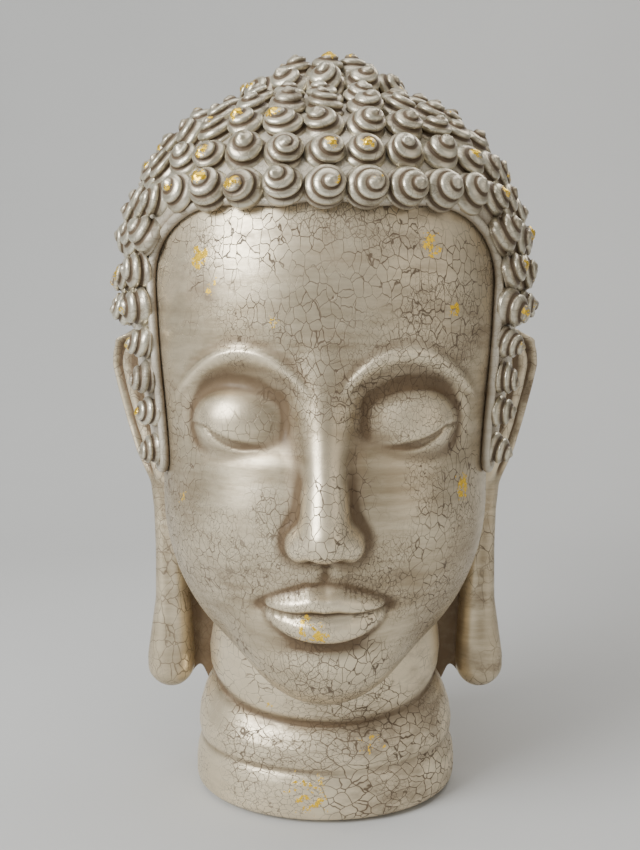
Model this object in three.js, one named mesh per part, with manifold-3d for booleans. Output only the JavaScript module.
// A Buddha head statue, about 40 cm tall, cast in resin as separate hollow pieces that are bonded together:
// a face casting and a rear casting that meet in a lap joint, a neck with three rolls, a raised hair cap,
// a crown dome, strips of snail-shell curls, two long-lobed ears, a base plate and a felt pad.
// Millimetres, +Z up, the face looks along -Y, and the origin is the centre of the felt's underside.
import * as THREE from "three";
import { mergeVertices } from "three/addons/utils/BufferGeometryUtils.js";
import Module from "manifold-3d";

const wasm = await Module();
wasm.setup();

// ---------------------------------------------------------------- driving sizes

// Bond lines and clearances
const GLUE_LINE = 0.4; // gap left for adhesive wherever two castings meet
const PEG_CLEARANCE = 0.4; // radial gap round a locating peg or spigot

// Bare skull, without hair
const SKULL_WIDTH = 198;
const SKULL_DEPTH = 222;
const SKULL_TOP = 366; // height of the bare scalp above the table
const SKULL_HALF_HEIGHT = 104; // from the widest level up to the scalp
const SKULL_CENTRE_Y = 12;
const SKULL_PLAN_POWER = 2.2; // 2 is an ellipse, more is squarer
const SKULL_SIDE_POWER = 2.5;

// Jaw and chin
const JAW_WIDTH = 172;
const JAW_DEPTH = 170;
const JAW_CENTRE_Y = -14;
const CHIN_HEIGHT = 67; // underside of the chin above the table
const JAW_TOP = 264; // where the jaw's form has died away into the temples
const CHIN_RADIUS = 33;
const CHIN_FRONT_Y = -95;
const SKULL_JAW_BLEND = 22;
const CHIN_BLEND = 30;

// Face relief, placed by thirds of the distance from the hairline to the chin
const HAIRLINE_HEIGHT = 309;
const NOSE_PROJECTION = 25;
const NOSE_WIDTH = 36;
const EYE_WIDTH = 36;
const EYE_SOCKET_DEPTH = 10;
const LID_BULGE = 9;
const BROW_RIDGE = 2.5;
const MOUTH_WIDTH = 54;
const LIP_PROJECTION = 9;

// Castings
const WALL = 10;
const SPLIT_Y = 8; // plane where the face casting meets the rear casting
const LAP_LENGTH = 8;

// Neck and base
const BASE_WIDTH = 144;
const BASE_DEPTH = 128;
const NECK_WIDTH = 120; // just under the jaw
const NECK_DEPTH = 114;
const LOWER_GROOVE_HEIGHT = 28;
const UPPER_GROOVE_HEIGHT = 60;
const UPPER_ROLL_TOP = 92;
const FRONT_DIP = 13; // how far the upper roll sags at the throat
const ROLL_BULGE = 5;
const NECK_COLUMN_TOP = 150; // the column's top, before the head is cut out of it
const NECK_BORE_WIDTH = 96;
const NECK_BORE_DEPTH = 88;
const SPIGOT_RADIUS = 34;
const SPIGOT_WALL = 8;
const SPIGOT_TOP = 92;
const PLATE_WIDTH = 108;
const PLATE_DEPTH = 100;
const PLATE_THICKNESS = 6;
const VENT_RADIUS = 6;
const FELT_THICKNESS = 2;
const FELT_INSET = 5;

// Hair cap
const CAP_THICKNESS = 5;
const TEMPLE_INSET = 15; // from the skull's widest line in to the edge of the hair beside the face
const FACE_OPENING_WIDTH = SKULL_WIDTH - 2 * TEMPLE_INSET;
const FACE_OPENING_CORNER = 34;
const FACE_OPENING_TAPER = 5; // by which each side draws in on its way down to the sideburn's tip
const WIDOWS_PEAK = 5; // dip of the hairline at the centre of the forehead
const FACE_OPENING_BACK_Y = -22; // the face opening is cut no further back than this
const SIDEBURN_BOTTOM = 181;
const NAPE_HEIGHT = 174;
const EAR_NOTCH_FRONT_Y = -29;
const EAR_NOTCH_BACK_Y = 48;
const EAR_NOTCH_TOP = 256;

// Crown dome
const CROWN_WIDTH = 84;
const CROWN_SIDE_POWER = 2.6; // 2 is an ellipse, more is squarer
const CROWN_RISE = 21.6; // of its top above the bare scalp
const CROWN_SINK = 12; // of its widest level below the bare scalp, inside the cap
const CROWN_TOP = SKULL_TOP + CROWN_RISE;
const CROWN_BASE = SKULL_TOP - CROWN_SINK;
const CROWN_SPIGOT_RADIUS = 14;
const CROWN_SPIGOT_DEPTH = 12;
const CROWN_ROWS = 2; // rings of curls below the tip curl
const CROWN_CURL_LIFT = 1.8; // keeps the flat foot of a curl off the dome's tight curve

// Curls
const CURL_PITCH = 18.8; // between neighbours in a row
const ROWS_ABOVE_HAIRLINE = 5; // between the crown dome and the forehead
const CURL_ROW_PITCH = 18.4; // between rows below the hairline's level
const CURL_HEIGHT = 12;
const CURL_RIM_HEIGHT = 5; // of the curl's edge, where its dome begins
const CURL_ROW_GAP = 0.5; // left free between neighbouring rows
const CURL_WAIST_SHARE = 0.72; // width of a row where two curls meet, against its full width
const HAIRLINE_OVERHANG = 2; // of the first row's edge over the hairline
const HAIR_EDGE_MARGIN = 8; // from any other edge of the cap to the centre of a curl

// Ears
const EAR_TOP = 252;
const EAR_BOTTOM = 48;
const EAR_WAIST_HEIGHT = 164; // where the upper ear has narrowed into the strap of the lobe
const EAR_STANDOFF = 20; // of the rim beyond the widest line of the skull
const WAIST_STANDOFF = 10; // of the waist beyond the widest line of the jaw
const LOBE_STANDOFF = 16; // of the lobe beyond the widest line of the jaw
const EAR_OUTER_AT_TOP = SKULL_WIDTH / 2 + EAR_STANDOFF;
const EAR_OUTER_AT_WAIST = JAW_WIDTH / 2 + WAIST_STANDOFF;
const LOBE_OUTER = JAW_WIDTH / 2 + LOBE_STANDOFF;
const EAR_Y = 12;
const EAR_DEPTH = 50; // across the upper ear
const EAR_PLATE_THICKNESS = 11;
const EAR_FLARE_DEG = 42; // turn of the upper ear away from the side of the head
const LOBE_WIDTH = 20;
const LOBE_DEPTH = 26;
const EAR_PEG_Y = 22;
const EAR_PEG_RADIUS = 4;
const EAR_PEG_HEIGHTS = [200, 228];
const EAR_ROOT_REACH = 15; // half the width of the root that joins the upper ear to the head
const EAR_WEB_THICKNESS = 9; // of the web between the lobe and the jaw
const EAR_WEB_BOTTOM = 70;

// ---------------------------------------------------------------- small helpers

const UP = new THREE.Vector3(0, 0, 1);
const TURN = 2 * Math.PI;
const FAR = 400; // longer than the object, for cutting blocks

const clamp01 = (t) => Math.min(1, Math.max(0, t));
const mix = (a, b, t) => a + (b - a) * t;
const smoothStep = (a, b, t) => {
  const s = clamp01((t - a) / (b - a));
  return s * s * (3 - 2 * s);
};
const bump = (t) => Math.exp(-t * t);

// Union of two distances with a fillet of the given width.
function smoothMin(a, b, width) {
  const h = clamp01(0.5 + (0.5 * (b - a)) / width);
  return mix(b, a, h) - width * h * (1 - h);
}

// A closed geometry as a manifold solid.
function solidOf(geometry) {
  const bare = new THREE.BufferGeometry();
  bare.setAttribute("position", geometry.getAttribute("position").clone());
  if (geometry.index) bare.setIndex(geometry.index.clone());
  const merged = mergeVertices(bare, 1e-4);
  const corners = [];
  for (let i = 0; i < merged.index.count; i += 3) {
    const [a, b, c] = [0, 1, 2].map((k) => merged.index.getX(i + k));
    if (a !== b && b !== c && c !== a) corners.push(a, b, c);
  }
  return new wasm.Manifold(
    new wasm.Mesh({
      numProp: 3,
      vertProperties: new Float32Array(merged.attributes.position.array),
      triVerts: new Uint32Array(corners),
    }),
  );
}

// A manifold solid as a named mesh.
function meshOf(name, solid, material) {
  const data = solid.getMesh();
  const geometry = new THREE.BufferGeometry();
  geometry.setAttribute("position", new THREE.BufferAttribute(data.vertProperties, 3));
  geometry.setIndex(new THREE.BufferAttribute(data.triVerts, 1));
  geometry.computeVertexNormals();
  const mesh = new THREE.Mesh(geometry, material);
  mesh.name = name;
  return mesh;
}

// Moves every vertex of a geometry to where place(vertex) says.
function warp(geometry, place) {
  const position = geometry.getAttribute("position");
  const vertex = new THREE.Vector3();
  for (let i = 0; i < position.count; i++) {
    vertex.fromBufferAttribute(position, i);
    const moved = place(vertex);
    position.setXYZ(i, moved.x, moved.y, moved.z);
  }
  return geometry;
}

// A box given by its lowest and highest corners.
function block(low, high) {
  const size = high.map((h, k) => h - low[k]);
  const geometry = new THREE.BoxGeometry(...size);
  geometry.translate(...high.map((h, k) => (h + low[k]) / 2));
  return solidOf(geometry);
}

// An upright cylinder with an elliptical section.
function ellipticColumn(width, depth, bottom, top, sides, centreY = 0) {
  const geometry = new THREE.CylinderGeometry(1, 1, 1, sides);
  geometry.rotateX(Math.PI / 2);
  geometry.scale(width / 2, depth / 2, top - bottom);
  geometry.translate(0, centreY, (top + bottom) / 2);
  return solidOf(geometry);
}

// A unit sphere whose poles are on the Z axis.
function uprightSphere(columns, rows) {
  const geometry = new THREE.SphereGeometry(1, columns, rows);
  geometry.rotateX(Math.PI / 2);
  return geometry;
}

// An outline drawn in X and Z, extruded along Y between two depths.
function prismAlongY(shape, front, back) {
  const geometry = new THREE.ExtrudeGeometry(shape, {
    depth: back - front,
    bevelEnabled: false,
    curveSegments: 6,
  });
  geometry.rotateX(Math.PI / 2);
  geometry.translate(0, back, 0);
  return solidOf(geometry);
}

// An outline drawn in Y and Z, extruded along the whole of X.
function prismAlongX(shape) {
  const geometry = new THREE.ExtrudeGeometry(shape, { depth: 2 * FAR, bevelEnabled: false });
  geometry.applyMatrix4(
    new THREE.Matrix4().makeBasis(
      new THREE.Vector3(0, 1, 0),
      new THREE.Vector3(0, 0, 1),
      new THREE.Vector3(1, 0, 0),
    ),
  );
  geometry.translate(-FAR, 0, 0);
  return solidOf(geometry);
}

// ---------------------------------------------------------------- the head's form

const skullCentre = new THREE.Vector3(0, SKULL_CENTRE_Y, SKULL_TOP - SKULL_HALF_HEIGHT);
const jawHalfHeight = (JAW_TOP - CHIN_HEIGHT) / 2;
const jawCentre = new THREE.Vector3(0, JAW_CENTRE_Y, CHIN_HEIGHT + jawHalfHeight);
const chinCentre = new THREE.Vector3(0, CHIN_FRONT_Y + CHIN_RADIUS, CHIN_HEIGHT + CHIN_RADIUS);
const headCentre = new THREE.Vector3(0, 4, (SKULL_TOP + CHIN_HEIGHT) / 2);

// Roughly the distance from a point to the skin of the smooth head, less than 0 inside.
function headDistance(p) {
  const x = Math.abs(p.x) / (SKULL_WIDTH / 2);
  const y = Math.abs(p.y - skullCentre.y) / (SKULL_DEPTH / 2);
  const z = Math.abs(p.z - skullCentre.z) / SKULL_HALF_HEIGHT;
  const plan = (x ** SKULL_PLAN_POWER + y ** SKULL_PLAN_POWER) ** (1 / SKULL_PLAN_POWER);
  const reach = (plan ** SKULL_SIDE_POWER + z ** SKULL_SIDE_POWER) ** (1 / SKULL_SIDE_POWER);
  const skull = (reach - 1) * SKULL_HALF_HEIGHT;
  const jawReach = Math.hypot(
    p.x / (JAW_WIDTH / 2),
    (p.y - jawCentre.y) / (JAW_DEPTH / 2),
    (p.z - jawCentre.z) / jawHalfHeight,
  );
  const jaw = ((jawReach - 1) * JAW_WIDTH) / 2;
  const chin = p.distanceTo(chinCentre) - CHIN_RADIUS;
  return smoothMin(smoothMin(skull, jaw, SKULL_JAW_BLEND), chin, CHIN_BLEND);
}

// The outward direction of the skin at a point near it.
function headNormal(p) {
  const step = 0.5;
  const slope = (axis) => {
    const ahead = p.clone();
    const behind = p.clone();
    ahead[axis] += step;
    behind[axis] -= step;
    return headDistance(ahead) - headDistance(behind);
  };
  return new THREE.Vector3(slope("x"), slope("y"), slope("z")).normalize();
}

// Where a ray from a point inside the head meets its skin.
function headSkin(origin, direction) {
  let near = 0;
  let far = FAR;
  for (let i = 0; i < 28; i++) {
    const middle = (near + far) / 2;
    const p = origin.clone().addScaledVector(direction, middle);
    if (headDistance(p) < 0) near = middle;
    else far = middle;
  }
  return origin.clone().addScaledVector(direction, near);
}

// Face levels: the brow, the nose's base and the chin divide the face below the hairline into equal thirds.
const faceThird = (HAIRLINE_HEIGHT - CHIN_HEIGHT) / 3;
const browLevel = CHIN_HEIGHT + 2 * faceThird;
const noseBaseLevel = CHIN_HEIGHT + faceThird;
const eyeLevel = browLevel - 0.26 * faceThird;
const mouthLevel = noseBaseLevel - faceThird / 3;

// How far the features stand out from the smooth head, by place in the front view.
function faceRelief(p, normal) {
  const belowHair = smoothStep(HAIRLINE_HEIGHT - 4, browLevel + 26, p.z);
  const frontness = smoothStep(0.15, 0.5, -normal.y) * belowHair;
  if (!frontness) return 0;
  const side = Math.abs(p.x);
  const noseRise = smoothStep(browLevel + 6, noseBaseLevel + 8, p.z);
  const noseEnds =
    smoothStep(noseBaseLevel - 5, noseBaseLevel + 3, p.z) *
    smoothStep(browLevel + 18, browLevel - 6, p.z);
  const noseHalf = mix(10, NOSE_WIDTH / 2.2, noseRise);
  const nose = NOSE_PROJECTION * mix(0.3, 1, noseRise) * noseEnds * bump(side / noseHalf);
  const fromPupil = side - EYE_WIDTH;
  const socket =
    EYE_SOCKET_DEPTH * bump(fromPupil / (EYE_WIDTH * 0.62)) * bump((p.z - eyeLevel - 6) / 17);
  const lid = LID_BULGE * bump(fromPupil / (EYE_WIDTH * 0.42)) * bump((p.z - eyeLevel - 2) / 10);
  const browArc = browLevel + 14 - (fromPupil * fromPupil) / 62;
  const brow = BROW_RIDGE * bump((p.z - browArc) / 4) * smoothStep(66, 50, side);
  const lipHeights = bump((p.z - mouthLevel - 8) / 7) + bump((p.z - mouthLevel + 8) / 7);
  const lips = LIP_PROJECTION * bump(side / (MOUTH_WIDTH * 0.42)) * lipHeights;
  return frontness * (nose + lid - socket + brow + lips);
}

// A closed skin grown outwards from the smooth head by the given amount, plus any relief.
// The grid's columns and rows crowd together at the face by its crowding, from 0 to 1.
function headForm(grow, { columns, rows, crowding }, relief = () => 0) {
  return solidOf(
    warp(uprightSphere(columns, rows), (v) => {
      const around = Math.atan2(v.x, -v.y);
      const up = Math.asin(THREE.MathUtils.clamp(v.z, -1, 1));
      const azimuth = around - crowding * Math.sin(around);
      const elevation = up - 0.35 * crowding * Math.sin(2 * up);
      const ring = Math.cos(elevation);
      const direction = new THREE.Vector3(
        Math.sin(azimuth) * ring,
        -Math.cos(azimuth) * ring,
        Math.sin(elevation),
      );
      const p = headSkin(headCentre, direction);
      const normal = headNormal(p);
      return p.addScaledVector(normal, grow + relief(p, normal));
    }),
  );
}

// Grids for the head's skins: the visible ones share one grid, so that their facets stay parallel.
const SKIN_GRID = { columns: 48, rows: 38, crowding: 0.5 };
const HIDDEN_GRID = { columns: 24, rows: 16, crowding: 0 };
const HAIR_GRID = { columns: 36, rows: 24, crowding: 0 };

// ---------------------------------------------------------------- materials

const paint = (color, roughness, metalness) =>
  new THREE.MeshStandardMaterial({ color, roughness, metalness });
const cracklePaint = paint(0xb5a994, 0.42, 0.35);
const hairPaint = paint(0xb8ad9a, 0.38, 0.4);
const capPaint = paint(0xc9c5bb, 0.5, 0.2);
const bareResin = paint(0x8d867a, 0.8, 0);
const felt = paint(0x3a3733, 0.95, 0);

// ---------------------------------------------------------------- hollow head castings

// The ring-shaped spigot on top of the neck, grown or shrunk by a clearance.
function neckSpigot(clearance, bottom, top) {
  const outside = 2 * (SPIGOT_RADIUS + clearance);
  return ellipticColumn(outside, outside, bottom, top, 24);
}

// The locating pegs of one ear: side is 1 for +X and -1 for -X.
function earPegs(side, clearance) {
  return EAR_PEG_HEIGHTS.map((height) => {
    const skin = headSkin(new THREE.Vector3(0, EAR_PEG_Y, height), new THREE.Vector3(1, 0, 0));
    const length = WALL + 8;
    const peg = new THREE.CylinderGeometry(
      EAR_PEG_RADIUS + clearance,
      EAR_PEG_RADIUS + clearance,
      length + 2 * clearance,
      12,
    );
    peg.rotateZ(Math.PI / 2);
    peg.translate(side * (skin.x - WALL + 2 + length / 2), EAR_PEG_Y, height);
    return solidOf(peg);
  });
}

const outerForm = headForm(0, SKIN_GRID, faceRelief);
const clearForm = headForm(GLUE_LINE, SKIN_GRID);
const innerForm = headForm(-WALL, HIDDEN_GRID);
const lapForm = headForm(-WALL / 2, HIDDEN_GRID);
const lapFormGrown = headForm(-WALL / 2 + GLUE_LINE, HIDDEN_GRID);

// The whole hollow head with its neck opening, ready to be split.
function hollowHead() {
  const opening = neckSpigot(PEG_CLEARANCE, 0, SPIGOT_TOP + WALL);
  return outerForm.subtract(innerForm).subtract(opening);
}

// Everything in front of, or behind, an upright plane.
const inFrontOf = (y) => block([-FAR, -FAR, -FAR], [FAR, y, 2 * FAR]);
const behind = (y) => block([-FAR, y, -FAR], [FAR, FAR, 2 * FAR]);

// The face casting has a rebate inside its rear edge, which the rear casting's tongue enters.
function faceCasting(head) {
  const rebate = lapFormGrown.intersect(behind(SPLIT_Y - LAP_LENGTH - GLUE_LINE));
  return head.intersect(inFrontOf(SPLIT_Y - GLUE_LINE)).subtract(rebate);
}

// The rear casting carries the tongue and the sockets for the ears' pegs.
function rearCasting(head) {
  const tongue = head.intersect(lapForm).intersect(behind(SPLIT_Y - LAP_LENGTH));
  let rear = head.intersect(behind(SPLIT_Y)).add(tongue);
  for (const side of [-1, 1]) {
    for (const socket of earPegs(side, PEG_CLEARANCE)) rear = rear.subtract(socket);
  }
  return rear;
}

// ---------------------------------------------------------------- neck and base

// Half-width of the neck as a share of the width between base and jaw, with a bulge between grooves.
function neckGirth(height) {
  const bands = [FELT_THICKNESS, LOWER_GROOVE_HEIGHT, UPPER_GROOVE_HEIGHT, UPPER_ROLL_TOP];
  const taper = smoothStep(LOWER_GROOVE_HEIGHT * 0.7, UPPER_ROLL_TOP, height);
  let bulge = 0;
  for (let i = 0; i + 1 < bands.length; i++) {
    const t = (height - bands[i]) / (bands[i + 1] - bands[i]);
    if (t > 0 && t < 1) bulge = ROLL_BULGE * Math.sqrt(Math.sin(Math.PI * t));
  }
  return { taper, bulge };
}

// The neck column: three soft rolls, the upper ones sagging at the throat.
function neckCasting() {
  const rows = 20;
  const column = new THREE.CylinderGeometry(1, 1, 1, 36, rows);
  column.rotateX(Math.PI / 2);
  const bottom = FELT_THICKNESS + GLUE_LINE;
  const heightRange = NECK_COLUMN_TOP - bottom;
  const outside = solidOf(
    warp(column, (v) => {
      const share = v.z + 0.5;
      const height = bottom + share ** 1.15 * heightRange;
      const { taper, bulge } = neckGirth(height);
      const radial = Math.hypot(v.x, v.y);
      const halfWidth = mix(BASE_WIDTH, NECK_WIDTH, taper) / 2 - ROLL_BULGE + bulge;
      const halfDepth = mix(BASE_DEPTH, NECK_DEPTH, taper) / 2 - ROLL_BULGE + bulge;
      const front = clamp01(-v.y);
      const sag = FRONT_DIP * front * bump((height - UPPER_GROOVE_HEIGHT) / 26);
      return new THREE.Vector3(
        v.x * halfWidth,
        v.y * halfDepth,
        height - sag * radial,
      );
    }),
  );
  const plateSeat = FELT_THICKNESS + PLATE_THICKNESS + 2 * GLUE_LINE;
  const bore = ellipticColumn(
    NECK_BORE_WIDTH, NECK_BORE_DEPTH, 0, UPPER_GROOVE_HEIGHT, 32,
  );
  const rebate = ellipticColumn(
    PLATE_WIDTH + 2 * GLUE_LINE, PLATE_DEPTH + 2 * GLUE_LINE, 0, plateSeat, 32,
  );
  const spigot = neckSpigot(0, UPPER_GROOVE_HEIGHT - SPIGOT_WALL, SPIGOT_TOP);
  const spigotBore = neckSpigot(-SPIGOT_WALL, 0, SPIGOT_TOP + WALL);
  return outside.subtract(clearForm).add(spigot).subtract(spigotBore).subtract(bore).subtract(rebate);
}

// The plate that closes the foot of the neck, with a vent so that air can leave the hollow.
function basePlate() {
  const bottom = FELT_THICKNESS + GLUE_LINE;
  const top = bottom + PLATE_THICKNESS;
  const vent = ellipticColumn(2 * VENT_RADIUS, 2 * VENT_RADIUS, 0, top + 1, 16);
  return ellipticColumn(PLATE_WIDTH, PLATE_DEPTH, bottom, top, 32).subtract(vent);
}

// The felt pad that the statue stands on.
function feltPad() {
  const trim = 2 * (FELT_INSET + ROLL_BULGE);
  return ellipticColumn(
    BASE_WIDTH - trim, BASE_DEPTH - trim, 0, FELT_THICKNESS, 40,
  );
}

// ---------------------------------------------------------------- hair cap

// What the hair leaves bare in the front view: an arch with round corners and a small central peak.
function faceOpening() {
  const half = FACE_OPENING_WIDTH / 2;
  const foot = half - FACE_OPENING_TAPER;
  const top = HAIRLINE_HEIGHT + WIDOWS_PEAK / 2;
  const peak = HAIRLINE_HEIGHT - WIDOWS_PEAK / 2;
  const corner = FACE_OPENING_CORNER;
  const arch = new THREE.Shape();
  arch.moveTo(-foot, -FAR);
  arch.lineTo(foot, -FAR);
  arch.lineTo(foot, SIDEBURN_BOTTOM);
  arch.lineTo(half, top - corner);
  arch.quadraticCurveTo(half, top, half - corner, top);
  arch.quadraticCurveTo(half * 0.25, top, 0, peak);
  arch.quadraticCurveTo(-half * 0.25, top, corner - half, top);
  arch.quadraticCurveTo(-half, top, -half, top - corner);
  arch.lineTo(-foot, SIDEBURN_BOTTOM);
  return prismAlongY(arch, -FAR, FACE_OPENING_BACK_Y);
}

// What the hair leaves bare in the side view: below the sideburn, round the ear and below the nape.
function sideOpening() {
  const below = new THREE.Shape();
  below.moveTo(-FAR, -FAR);
  below.lineTo(FAR, -FAR);
  below.lineTo(FAR, NAPE_HEIGHT);
  below.lineTo(EAR_NOTCH_BACK_Y, NAPE_HEIGHT);
  below.lineTo(EAR_NOTCH_BACK_Y, EAR_NOTCH_TOP);
  below.lineTo(EAR_NOTCH_FRONT_Y, EAR_NOTCH_TOP);
  below.lineTo(EAR_NOTCH_FRONT_Y, SIDEBURN_BOTTOM);
  below.lineTo(-FAR, SIDEBURN_BOTTOM);
  return prismAlongX(below);
}

const crownSpigot = (clearance, bottom, top) =>
  ellipticColumn(
    2 * (CROWN_SPIGOT_RADIUS + clearance), 2 * (CROWN_SPIGOT_RADIUS + clearance),
    bottom, top, 16, SKULL_CENTRE_Y,
  );

function hairCap() {
  return headForm(GLUE_LINE + CAP_THICKNESS, HAIR_GRID)
    .subtract(clearForm)
    .subtract(faceOpening())
    .subtract(sideOpening())
    .subtract(crownSpigot(PEG_CLEARANCE, SKULL_TOP - WALL, CROWN_TOP));
}

// True where the hair cap covers the head, at least the given margin inside its edge. Rows of curls may stand
// closer than that to the face opening.
function isHair(p, margin) {
  const corner = FACE_OPENING_CORNER;
  const above = p.z - HAIRLINE_HEIGHT - WIDOWS_PEAK / 2 + corner;
  const drop = clamp01(-above / (HAIRLINE_HEIGHT - corner - SIDEBURN_BOTTOM));
  const across = Math.abs(p.x) - FACE_OPENING_WIDTH / 2 + FACE_OPENING_TAPER * drop + corner;
  const fromOpening =
    Math.min(0, Math.max(across, above)) +
    Math.hypot(Math.max(0, across), Math.max(0, above)) -
    corner;
  const bareFace = p.y < FACE_OPENING_BACK_Y && fromOpening < margin * 0.4;
  const besideEar = p.y > EAR_NOTCH_FRONT_Y - margin && p.y < EAR_NOTCH_BACK_Y + margin;
  const bareEar = besideEar && p.z < EAR_NOTCH_TOP + margin / 2;
  const lowest = p.y < EAR_NOTCH_FRONT_Y ? SIDEBURN_BOTTOM : NAPE_HEIGHT;
  return !bareFace && !bareEar && p.z > lowest + margin;
}

// ---------------------------------------------------------------- crown dome

const crownHeight = CROWN_TOP - CROWN_BASE;
const crownCentre = new THREE.Vector3(0, SKULL_CENTRE_Y, CROWN_BASE);

// The dome's profile at an angle down from its top: how far out and how far up it is, from 0 to 1.
function crownProfile(down) {
  const out = Math.max(0, Math.sin(down));
  const up = Math.max(0, Math.cos(down));
  const reach = (out ** CROWN_SIDE_POWER + up ** CROWN_SIDE_POWER) ** (1 / CROWN_SIDE_POWER);
  return { out: out / reach, up: up / reach };
}

// A point on the dome at an angle down from its top and an azimuth, and the outward direction there.
function crownSkin(down, around) {
  const half = CROWN_WIDTH / 2;
  const flat = new THREE.Vector3(Math.sin(around), -Math.cos(around), 0);
  const { out, up } = crownProfile(down);
  const point = crownCentre.clone();
  point.addScaledVector(flat, half * out);
  point.z += crownHeight * up;
  const normal = flat.multiplyScalar(out ** (CROWN_SIDE_POWER - 1) / half);
  normal.z = up ** (CROWN_SIDE_POWER - 1) / crownHeight;
  return { point, normal: normal.normalize() };
}

function crownDome() {
  const half = CROWN_WIDTH / 2;
  const dome = warp(uprightSphere(24, 14), (v) => {
    const { out, up } = crownProfile(Math.acos(Math.min(1, Math.abs(v.z))));
    const widening = out / Math.max(Math.hypot(v.x, v.y), 1e-9);
    const rise = Math.sign(v.z) * up * crownHeight;
    return new THREE.Vector3(v.x * widening * half, v.y * widening * half, rise).add(crownCentre);
  });
  const seat = headForm(2 * GLUE_LINE + CAP_THICKNESS, HAIR_GRID);
  const spigotBottom = SKULL_TOP + CAP_THICKNESS - CROWN_SPIGOT_DEPTH;
  return solidOf(dome)
    .subtract(seat)
    .add(crownSpigot(0, spigotBottom, CROWN_TOP - WALL))
    .subtract(clearForm);
}

// ---------------------------------------------------------------- curls

// A strip of curls that share their edges, on the surface that surfaceAt(down, around, rise) describes:
// an angle down from the top, an azimuth from the face and a height above the skin. The row is centred
// at one angle down and bounded by two others. The azimuths are, by turns, a waist between two curls
// and the middle of a curl. An open strip starts and ends with a waist; a closed one starts with a waist.
function curlStrip(surfaceAt, { upper, centre, lower }, azimuths, closed) {
  const corners = azimuths.flatMap((around, i) => {
    const share = i % 2 ? 1 : CURL_WAIST_SHARE;
    const back = mix(centre, upper, share);
    const front = mix(centre, lower, share);
    const rim = CURL_RIM_HEIGHT * share;
    return [
      surfaceAt(front, around, 0),
      surfaceAt(back, around, 0),
      surfaceAt(front, around, rim),
      surfaceAt(back, around, rim),
      surfaceAt(centre, around, CURL_HEIGHT),
    ];
  });
  const [FOOT_FRONT, FOOT_BACK, RIM_FRONT, RIM_BACK, TIP] = [0, 1, 2, 3, 4];
  const vertex = (station, corner) => 5 * (station % azimuths.length) + corner;
  const faces = [];
  const quad = (a, b, c, d) => faces.push(a, b, c, a, c, d);
  for (let i = 0; i + 1 < azimuths.length + (closed ? 1 : 0); i++) {
    const here = (corner) => vertex(i, corner);
    const next = (corner) => vertex(i + 1, corner);
    quad(here(FOOT_BACK), next(FOOT_BACK), next(FOOT_FRONT), here(FOOT_FRONT));
    quad(here(FOOT_FRONT), next(FOOT_FRONT), next(RIM_FRONT), here(RIM_FRONT));
    quad(here(RIM_BACK), next(RIM_BACK), next(FOOT_BACK), here(FOOT_BACK));
    const tip = i % 2 ? here(TIP) : next(TIP);
    faces.push(here(RIM_FRONT), next(RIM_FRONT), tip, next(RIM_BACK), here(RIM_BACK), tip);
    if (i % 2) faces.push(next(RIM_FRONT), next(RIM_BACK), tip);
    else faces.push(here(RIM_BACK), here(RIM_FRONT), tip);
  }
  if (!closed) {
    const end = (i) => [FOOT_FRONT, RIM_FRONT, RIM_BACK, FOOT_BACK].map((c) => vertex(i, c));
    quad(...end(0));
    quad(...end(azimuths.length - 1).reverse());
  }
  const geometry = new THREE.BufferGeometry().setFromPoints(corners);
  geometry.setIndex(faces);
  return solidOf(geometry);
}

const curlFoot = CAP_THICKNESS + 2 * GLUE_LINE + 0.3; // from the skull up to the foot of a curl

// The direction from the skull's centre at an angle down from the crown and an azimuth from the face.
const capDirection = (down, around) =>
  new THREE.Vector3(
    Math.sin(down) * Math.sin(around),
    -Math.sin(down) * Math.cos(around),
    Math.cos(down),
  );

// A point above the hair cap, straight out from the skull's centre. The rise is counted square to the cap.
function capSurface(down, around, rise) {
  const direction = capDirection(down, around);
  const skin = headSkin(skullCentre, direction);
  const slant = direction.dot(headNormal(skin));
  return skin.addScaledVector(direction, (curlFoot + rise) / slant);
}

// A point above the crown dome.
function crownSurface(down, around, rise) {
  const { point, normal } = crownSkin(down, around);
  return point.addScaledVector(normal, CROWN_CURL_LIFT + rise);
}

// The first angle down, from a start, at which a test holds.
function sweepDown(start, test) {
  let down = start;
  while (!test(down)) down += 0.001;
  return down;
}

// The edges of the rows of curls on the cap, from the crown dome down to the nape.
function capRowEdges() {
  const clearOfCrown = CROWN_WIDTH / 2 + CROWN_CURL_LIFT + CURL_ROW_GAP;
  const top = sweepDown(0, (down) => capSurface(down, Math.PI / 2, 0).x > clearOfCrown);
  const bottom =
    sweepDown(top, (down) => capSurface(down, 0, -curlFoot).z < HAIRLINE_HEIGHT - HAIRLINE_OVERHANG);
  const edges = [];
  for (let i = 0; i <= ROWS_ABOVE_HAIRLINE; i++) {
    edges.push(mix(top, bottom, i / ROWS_ABOVE_HAIRLINE));
  }
  const nape = (down) => capSurface(down, Math.PI, 0);
  while (nape(edges.at(-1)).z > NAPE_HEIGHT + CURL_ROW_PITCH * 0.8) {
    const last = nape(edges.at(-1));
    edges.push(sweepDown(edges.at(-1), (down) => nape(down).distanceTo(last) > CURL_ROW_PITCH));
  }
  return edges;
}

// Rows between neighbouring edges, each kept half a gap inside them.
function rowsBetween(edges, radius) {
  const inset = CURL_ROW_GAP / 2 / radius;
  return edges.slice(1).map((edge, i) => ({
    upper: edges[i] + inset,
    centre: (edges[i] + edge) / 2,
    lower: edge - inset,
  }));
}

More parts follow.
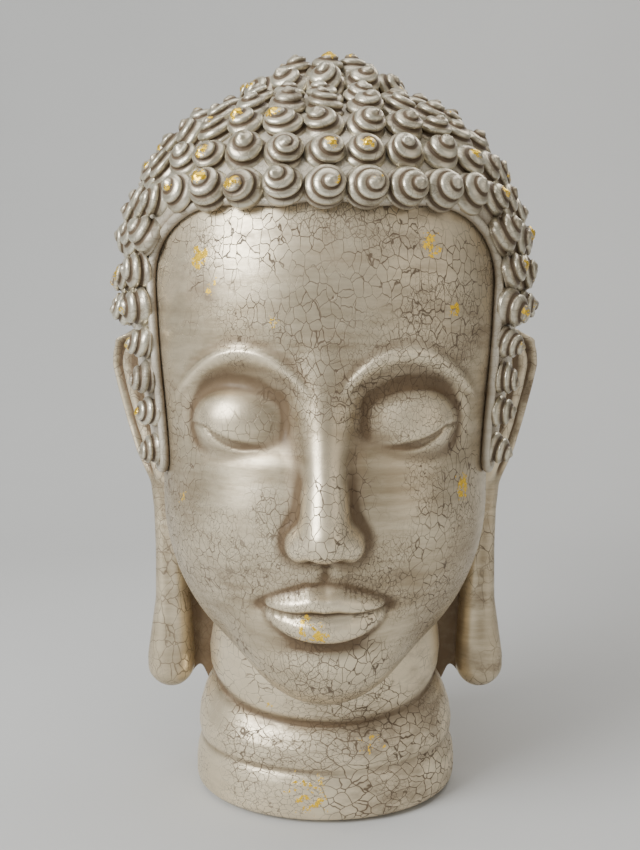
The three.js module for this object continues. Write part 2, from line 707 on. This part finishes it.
// Closely spaced azimuths round half the head at one row's angle, with the length run from the face.
function halfRing(down) {
  const steps = 300;
  const ring = [];
  let before = null;
  for (let i = 0; i <= steps; i++) {
    const around = (i / steps) * Math.PI;
    const here = capSurface(down, around, 0);
    const length = before ? ring[i - 1].length + here.distanceTo(before) : 0;
    const skin = headSkin(skullCentre, capDirection(down, around));
    ring.push({ around, length, hair: isHair(skin, HAIR_EDGE_MARGIN) });
    before = here;
  }
  return ring;
}

// The strips of curls along one row: a full ring, or runs between the face, the ears and the nape.
function rowStrips(row) {
  const ring = halfRing(row.centre);
  const half = ring.at(-1).length;
  const azimuthAt = (distance) => {
    if (distance < 0) return -azimuthAt(-distance);
    if (distance > half) return TURN - azimuthAt(2 * half - distance);
    return (ring.find((place) => place.length >= distance) ?? ring.at(-1)).around;
  };
  const azimuths = (start, pitch, count) =>
    Array.from({ length: count }, (_, i) => azimuthAt(start + ((i - 1) * pitch) / 2));
  if (ring.every((place) => place.hair)) {
    const count = Math.round((2 * half) / CURL_PITCH);
    const around = azimuths(0, (2 * half) / count, 2 * count);
    return [{ side: "", solid: curlStrip(capSurface, row, around, true) }];
  }
  const strips = [];
  ring.forEach((place, i) => {
    if (!place.hair || ring[i - 1]?.hair) return;
    const end = ring.findIndex((other, k) => k > i && !other.hair);
    const start = place.length;
    if (end < 0) {
      const gaps = Math.max(1, Math.floor((2 * (half - start)) / CURL_PITCH));
      const around = azimuths(start, (2 * (half - start)) / gaps, 2 * gaps + 3);
      const side = start > half / 2 ? "_back" : "";
      strips.push({ side, solid: curlStrip(capSurface, row, around, false) });
      return;
    }
    if (start === 0) {
      const reach = Math.floor(ring[end - 1].length / CURL_PITCH);
      const around = azimuths(-reach * CURL_PITCH, CURL_PITCH, 2 * (2 * reach + 1) + 1);
      strips.push({ side: "_front", solid: curlStrip(capSurface, row, around, false) });
      return;
    }
    const count = Math.floor((ring[end - 1].length - start) / CURL_PITCH) + 1;
    const right = azimuths(start, CURL_PITCH, 2 * count + 1);
    const left = right.map((around) => -around).reverse();
    strips.push(
      { side: "_sideburn_right", solid: curlStrip(capSurface, row, right, false) },
      { side: "_sideburn_left", solid: curlStrip(capSurface, row, left, false) },
    );
  });
  return strips;
}

// The rows of curls on the hair cap, counted down from the crown.
function capCurls() {
  const rows = rowsBetween(capRowEdges(), SKULL_WIDTH / 2).map((row, i) =>
    rowStrips(row).map(({ side, solid }) =>
      meshOf("curl_row_" + String(i + 1).padStart(2, "0") + side, solid, hairPaint),
    ),
  );
  return rows.flat();
}

// The single curl on the tip of the crown dome, and the rings of curls between it and the cap.
function crownCurls() {
  const tipRadius = (CURL_PITCH - CURL_ROW_GAP) / 2;
  const tip = new THREE.ConeGeometry(tipRadius, CURL_HEIGHT, 8);
  tip.rotateX(Math.PI / 2);
  tip.translate(0, crownCentre.y, CROWN_TOP + GLUE_LINE + CURL_HEIGHT / 2);
  const top = sweepDown(0, (down) => -crownSkin(down, 0).point.y + crownCentre.y > tipRadius + CURL_ROW_GAP);
  const aheadAsideBehind = [0, Math.PI / 2, Math.PI];
  const atCap = (down) =>
    aheadAsideBehind.some((around) => headDistance(crownSurface(down, around, 0)) < curlFoot + GLUE_LINE);
  const bottom = sweepDown(top, atCap);
  const edges = Array.from({ length: CROWN_ROWS + 1 }, (_, i) => mix(top, bottom, i / CROWN_ROWS));
  const rows = rowsBetween(edges, crownHeight).map((row, i) => {
    const radius = crownCentre.y - crownSkin(row.centre, 0).point.y;
    const count = Math.round((TURN * radius) / CURL_PITCH);
    const around = Array.from({ length: 2 * count }, (_, k) => ((k - 1) / (2 * count)) * TURN);
    const strip = curlStrip(crownSurface, row, around, true);
    return meshOf("crown_curl_row_" + (i + 1), strip, hairPaint);
  });
  return [meshOf("crown_tip_curl", solidOf(tip), hairPaint), ...rows];
}

// ---------------------------------------------------------------- ears

// The ear's section at a height: where its middle is, how long and thick it is, and how it is turned.
function earSection(height) {
  const upper = smoothStep(EAR_WAIST_HEIGHT - 12, EAR_WAIST_HEIGHT + 40, height);
  const widest = EAR_TOP - 14;
  const widening = clamp01((height - EAR_WAIST_HEIGHT) / (widest - EAR_WAIST_HEIGHT));
  const drooping = smoothStep(EAR_WAIST_HEIGHT - 50, EAR_BOTTOM + 16, height);
  const outer =
    EAR_OUTER_AT_WAIST +
    (EAR_OUTER_AT_TOP - EAR_OUTER_AT_WAIST) * widening +
    (LOBE_OUTER - EAR_OUTER_AT_WAIST) * drooping;
  const halfLength = mix(LOBE_DEPTH, EAR_DEPTH, upper) / 2;
  const halfThickness = mix(LOBE_WIDTH, EAR_PLATE_THICKNESS, upper) / 2;
  const turn = THREE.MathUtils.degToRad(mix(6, EAR_FLARE_DEG, upper));
  const reach = Math.hypot(halfThickness * Math.cos(turn), halfLength * Math.sin(turn));
  return { halfLength, halfThickness, turn, x: outer - reach };
}

// One ear: a flared upper ear that narrows into a long lobe, a root and a web that join it to the head,
// and the pegs that locate it. Side is 1 for +X and -1 for -X.
function ear(side) {
  const half = (EAR_TOP - EAR_BOTTOM) / 2;
  const middle = (EAR_TOP + EAR_BOTTOM) / 2;
  const form = warp(uprightSphere(14, 24), (v) => {
    const height = middle + v.z * half;
    const section = earSection(height);
    const fullness = Math.sqrt(1 - v.z ** 8);
    const ring = Math.max(1e-9, Math.hypot(v.x, v.y));
    const across = (v.x / ring) * section.halfThickness * fullness;
    const along = (v.y / ring) * section.halfLength * fullness;
    const c = Math.cos(section.turn);
    const s = Math.sin(section.turn);
    return new THREE.Vector3(
      section.x + across * c + along * s,
      EAR_Y - across * s + along * c,
      height,
    );
  });
  const webTop = EAR_WAIST_HEIGHT + 10;
  const webOuter = EAR_OUTER_AT_WAIST - LOBE_WIDTH / 2;
  const outline = new THREE.Shape();
  outline.moveTo(10, webTop);
  outline.lineTo(10, EAR_WEB_BOTTOM + 14);
  outline.lineTo(NECK_WIDTH / 2, EAR_WEB_BOTTOM + 14);
  outline.quadraticCurveTo(NECK_WIDTH / 2 + 6, EAR_WEB_BOTTOM, webOuter, EAR_WEB_BOTTOM - 10);
  outline.lineTo(webOuter, webTop);
  const webBack = EAR_Y + LOBE_DEPTH / 2 - 2;
  const web = prismAlongY(outline, webBack - EAR_WEB_THICKNESS, webBack);
  const rootHeight = (EAR_TOP - EAR_WAIST_HEIGHT) * 0.9;
  const rootForm = uprightSphere(12, 8);
  rootForm.scale(EAR_ROOT_REACH, EAR_PEG_RADIUS * 2.5, rootHeight / 2);
  rootForm.translate(EAR_OUTER_AT_WAIST - 4, EAR_PEG_Y, (EAR_PEG_HEIGHTS[0] + EAR_PEG_HEIGHTS[1]) / 2);
  const root = solidOf(rootForm);
  let made = solidOf(form).add(web).add(root).subtract(clearForm).subtract(neckEnvelope);
  if (side < 0) made = made.mirror([1, 0, 0]);
  for (const peg of earPegs(side, 0)) made = made.add(peg);
  return made;
}

// A plain column round the neck that keeps the ears' webs off it.
const neckEnvelope = ellipticColumn(
  NECK_WIDTH + 2 * GLUE_LINE + 4, NECK_DEPTH + 2 * GLUE_LINE + 4, 0, NECK_COLUMN_TOP + 2, 40,
);

// ---------------------------------------------------------------- assembly

const statue = new THREE.Group();
const head = hollowHead();
statue.add(
  meshOf("face_casting", faceCasting(head), cracklePaint),
  meshOf("rear_casting", rearCasting(head), cracklePaint),
  meshOf("neck_casting", neckCasting(), cracklePaint),
  meshOf("base_plate", basePlate(), bareResin),
  meshOf("felt_pad", feltPad(), felt),
  meshOf("hair_cap", hairCap(), capPaint),
  meshOf("crown_dome", crownDome(), capPaint),
  meshOf("ear_left", ear(-1), cracklePaint),
  meshOf("ear_right", ear(1), cracklePaint),
  ...capCurls(),
  ...crownCurls(),
);

export default statue;
